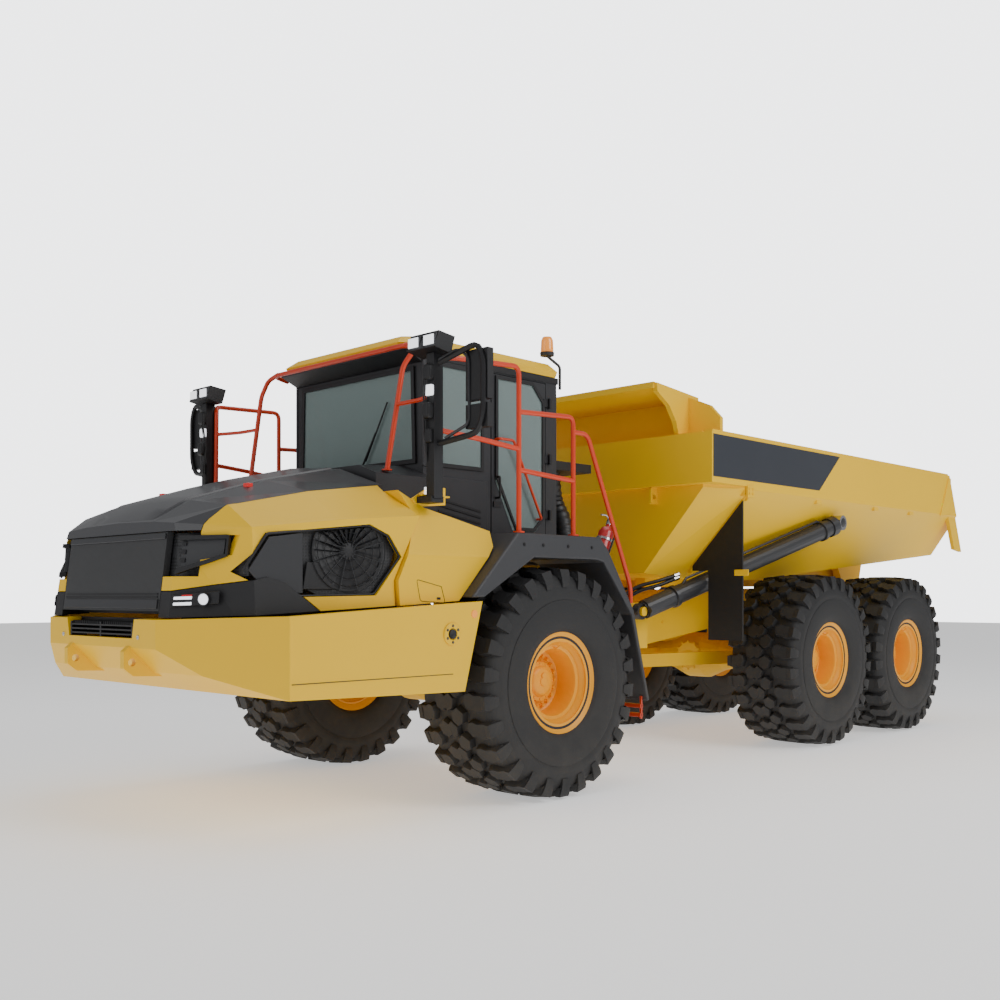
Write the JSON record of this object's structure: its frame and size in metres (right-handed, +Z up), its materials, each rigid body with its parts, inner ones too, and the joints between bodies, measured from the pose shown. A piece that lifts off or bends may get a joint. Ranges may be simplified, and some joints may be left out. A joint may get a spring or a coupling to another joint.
{
  "type": "articulated dump truck",
  "caption": "Six-wheel articulated dump truck: steered front frame with hood and cab, oscillating rear frame, tipping body with its hoist cylinders.",
  "frame": {"origin": "on the ground under the middle of the machine's bounding box", "axes": "+X towards the grille, +Y to the operator's left, +Z up"},
  "size_m": [11.151, 3.96, 3.97],
  "materials": {
    "yellow_paint": "semi-gloss",
    "dark_paint": "satin",
    "black_trim": "matte",
    "orange_paint": "satin",
    "tyre_rubber": "matte",
    "flap_rubber": "matte",
    "glazing": "clear",
    "rod_steel": "polished",
    "engine_iron": "rough",
    "seat_fabric": "woven",
    "beacon_amber": "gloss"
  },
  "bodies": {
    "front_frame": {"front_chassis": "yellow_paint", "engine_block": "engine_iron", "front_axle": "yellow_paint", "front_bumper": "yellow_paint", "lamp_bar": "black_trim", "scuttle": "yellow_paint", "fender_left": "dark_paint", "fender_right": "dark_paint", "cab_frame": "dark_paint", "windshield": "glazing", "rear_window": "glazing", "side_window_left": "glazing", "side_window_right": "glazing", "cab_roof": "yellow_paint", "cab_interior": "seat_fabric", "beacon": "beacon_amber", "air_intake": "black_trim", "mirror_left": "black_trim", "mirror_right": "black_trim", "front_rail": "orange_paint", "side_rail_left": "orange_paint", "side_rail_right": "orange_paint"},
    "hood": {"hood_top": "dark_paint", "side_panel_left": "yellow_paint", "side_panel_right": "yellow_paint", "hood_liner": "black_trim"},
    "grille": {"front_grille": "dark_paint"},
    "cab_door": {"cab_door": "dark_paint", "door_window": "glazing"},
    "steering_wheel": {"steering_wheel": "black_trim"},
    "hitch": {"hitch": "yellow_paint"},
    "rear_frame": {"rear_frame": "yellow_paint", "rear_axle_1": "yellow_paint", "rear_axle_2": "yellow_paint", "bogie_beam_left": "yellow_paint", "bogie_beam_right": "yellow_paint"},
    "dump_body": {"dump_body": "yellow_paint", "mud_flap_left": "flap_rubber", "mud_flap_right": "flap_rubber"},
    "tip_barrel_left": {"tip_barrel_left": "dark_paint"},
    "tip_rod_left": {"tip_rod_left": "rod_steel"},
    "tip_barrel_right": {"tip_barrel_right": "dark_paint"},
    "tip_rod_right": {"tip_rod_right": "rod_steel"},
    "steer_barrel_left": {"steer_barrel_left": "dark_paint"},
    "steer_rod_left": {"steer_rod_left": "rod_steel"},
    "steer_barrel_right": {"steer_barrel_right": "dark_paint"},
    "steer_rod_right": {"steer_rod_right": "rod_steel"},
    "wheel_1_left": {"rim_1_left": "yellow_paint", "tyre_1_left": "tyre_rubber"},
    "wheel_1_right": {"rim_1_right": "yellow_paint", "tyre_1_right": "tyre_rubber"},
    "wheel_2_left": {"rim_2_left": "yellow_paint", "tyre_2_left": "tyre_rubber"},
    "wheel_2_right": {"rim_2_right": "yellow_paint", "tyre_2_right": "tyre_rubber"},
    "wheel_3_left": {"rim_3_left": "yellow_paint", "tyre_3_left": "tyre_rubber"},
    "wheel_3_right": {"rim_3_right": "yellow_paint", "tyre_3_right": "tyre_rubber"}
  },
  "joints": [
    {"name": "steering", "type": "hinge", "parent": "front_frame", "child": "hitch", "pos_m": [1.1985, 0, 1.2], "axis": [0, 0, 1], "range_deg": [-45, 45]},
    {"name": "oscillation", "type": "hinge", "parent": "hitch", "child": "rear_frame", "pos_m": [0.5455, 0, 1.2], "axis": [1, 0, 0], "range_deg": [-15, 15]},
    {"name": "body_tip", "type": "hinge", "parent": "rear_frame", "child": "dump_body", "pos_m": [-4.5645, 0, 1.62], "axis": [0, -1, 0], "range_deg": [0, 70]},
    {"name": "tip_barrel_left_swing", "type": "hinge", "parent": "rear_frame", "child": "tip_barrel_left", "pos_m": [0.4255, 0.9, 1.47], "axis": [0.3921, 0.738, 0.5493], "range_deg": [0, 10.28]},
    {"name": "tip_rod_left_stroke", "type": "slide", "parent": "tip_barrel_left", "child": "tip_rod_left", "axis": [-0.9138, 0.2437, 0.3249], "range_m": [0, 2.6899]},
    {"name": "tip_barrel_right_swing", "type": "hinge", "parent": "rear_frame", "child": "tip_barrel_right", "pos_m": [0.4255, -0.9, 1.47], "axis": [-0.3921, 0.738, -0.5493], "range_deg": [0, 10.28]},
    {"name": "tip_rod_right_stroke", "type": "slide", "parent": "tip_barrel_right", "child": "tip_rod_right", "axis": [-0.9138, -0.2437, 0.3249], "range_m": [0, 2.6899]},
    {"name": "steer_barrel_left_swing", "type": "hinge", "parent": "front_frame", "child": "steer_barrel_left", "pos_m": [2.0755, 0.675, 1.1], "axis": [0, 0, 1], "range_deg": [-2, 2]},
    {"name": "steer_rod_left_stroke", "type": "slide", "parent": "steer_barrel_left", "child": "steer_rod_left", "axis": [-0.9282, -0.3721, 0], "range_m": [-0.2167, 0.2167]},
    {"name": "steer_barrel_right_swing", "type": "hinge", "parent": "front_frame", "child": "steer_barrel_right", "pos_m": [2.0755, -0.675, 1.1], "axis": [0, 0, 1], "range_deg": [-2, 2]},
    {"name": "steer_rod_right_stroke", "type": "slide", "parent": "steer_barrel_right", "child": "steer_rod_right", "axis": [-0.9282, 0.3721, 0], "range_m": [-0.2167, 0.2167]},
    {"name": "hood_lift", "type": "hinge", "parent": "front_frame", "child": "hood", "pos_m": [3.8755, 0, 2.655], "axis": [0, -1, 0], "range_deg": [0, 75]},
    {"name": "grille_fold", "type": "hinge", "parent": "front_frame", "child": "grille", "pos_m": [5.4605, 0, 1.53], "axis": [0, 1, 0], "range_deg": [0, 90]},
    {"name": "door_swing", "type": "hinge", "parent": "front_frame", "child": "cab_door", "pos_m": [1.7155, 0.87, 2.7], "axis": [0, 0, 1], "range_deg": [0, 70]},
    {"name": "steering_wheel_turn", "type": "hinge", "parent": "front_frame", "child": "steering_wheel", "pos_m": [2.8155, 0, 2.76], "axis": [-0.4202, 0, 0.9074], "range_deg": [-615, 615]},
    {"name": "wheel_1_left_spin", "type": "hinge", "parent": "front_frame", "child": "wheel_1_left", "pos_m": [2.4755, 1.318, 0.928], "axis": [0, 1, 0], "continuous": true},
    {"name": "wheel_1_right_spin", "type": "hinge", "parent": "front_frame", "child": "wheel_1_right", "pos_m": [2.4755, -1.318, 0.928], "axis": [0, 1, 0], "continuous": true},
    {"name": "wheel_2_left_spin", "type": "hinge", "parent": "rear_frame", "child": "wheel_2_left", "pos_m": [-1.9755, 1.318, 0.928], "axis": [0, 1, 0], "continuous": true},
    {"name": "wheel_2_right_spin", "type": "hinge", "parent": "rear_frame", "child": "wheel_2_right", "pos_m": [-1.9755, -1.318, 0.928], "axis": [0, 1, 0], "continuous": true},
    {"name": "wheel_3_left_spin", "type": "hinge", "parent": "rear_frame", "child": "wheel_3_left", "pos_m": [-3.9155, 1.318, 0.928], "axis": [0, 1, 0], "continuous": true},
    {"name": "wheel_3_right_spin", "type": "hinge", "parent": "rear_frame", "child": "wheel_3_right", "pos_m": [-3.9155, -1.318, 0.928], "axis": [0, 1, 0], "continuous": true}
  ],
  "couplings": [
    {"joint": "tip_barrel_left_swing", "follows": "body_tip", "ratio": 0.14672},
    {"joint": "tip_rod_left_stroke", "follows": "body_tip", "m_per_rad": 2.2009},
    {"joint": "tip_barrel_right_swing", "follows": "body_tip", "ratio": 0.14672},
    {"joint": "tip_rod_right_stroke", "follows": "body_tip", "m_per_rad": 2.2009},
    {"joint": "steer_barrel_left_swing", "follows": "steering", "ratio": 0.044174},
    {"joint": "steer_rod_left_stroke", "follows": "steering", "m_per_rad": 0.27465},
    {"joint": "steer_barrel_right_swing", "follows": "steering", "ratio": 0.044174},
    {"joint": "steer_rod_right_stroke", "follows": "steering", "m_per_rad": -0.27465},
    {"joint": "steering_wheel_turn", "follows": "steering", "ratio": 13.6}
  ]
}
